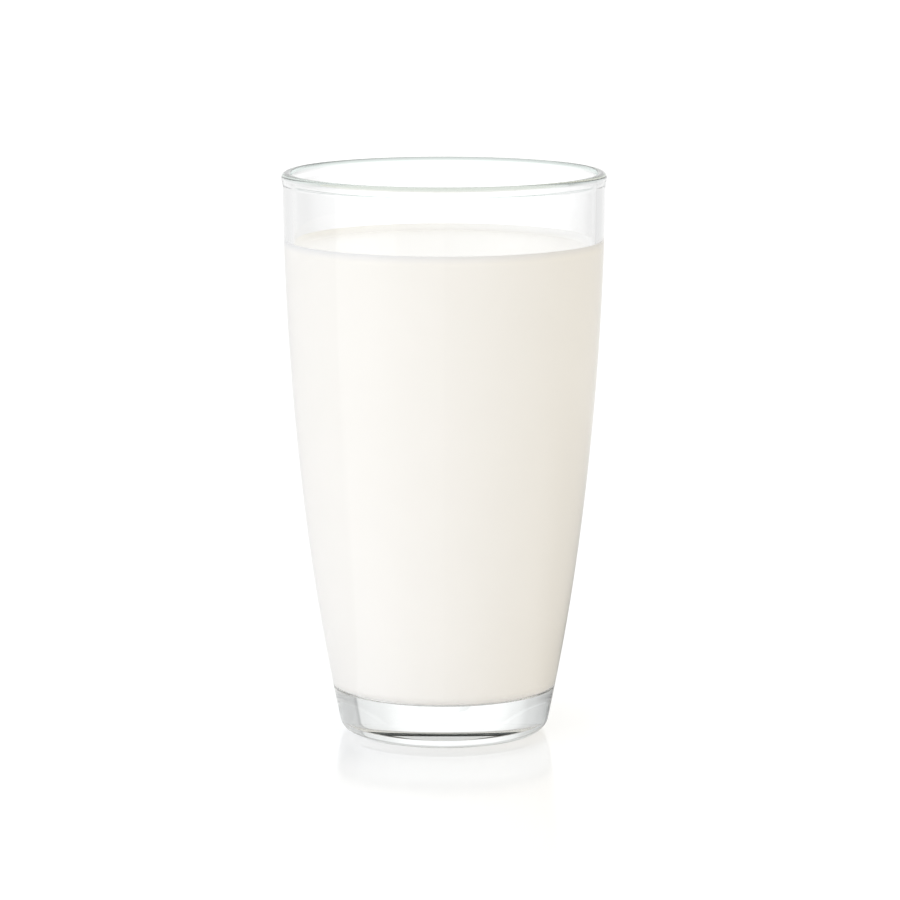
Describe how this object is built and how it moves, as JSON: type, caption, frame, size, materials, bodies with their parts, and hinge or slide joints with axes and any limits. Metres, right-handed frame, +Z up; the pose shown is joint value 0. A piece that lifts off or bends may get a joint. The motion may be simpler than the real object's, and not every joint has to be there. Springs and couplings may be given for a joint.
{
  "type": "glass of ayran",
  "caption": "Tall tapered drinking glass with a rounded bead lip and a thick clear base, filled with a white yoghurt drink to just below the lip.",
  "frame": {"origin": "centre of the foot, on the surface the glass stands on", "axes": "+Z up along the axis of the glass; +X and +Y are free, because the glass is round"},
  "size_m": [0.08, 0.08, 0.1398],
  "materials": {
    "glass": "clear pressed soda-lime glass, fire-polished, with a faint green cast where it is thick",
    "ayran": "opaque warm white yoghurt drink with a wet, smooth surface"
  },
  "bodies": {
    "root": {"tumbler": "glass", "drink": "ayran"}
  },
  "joints": []
}
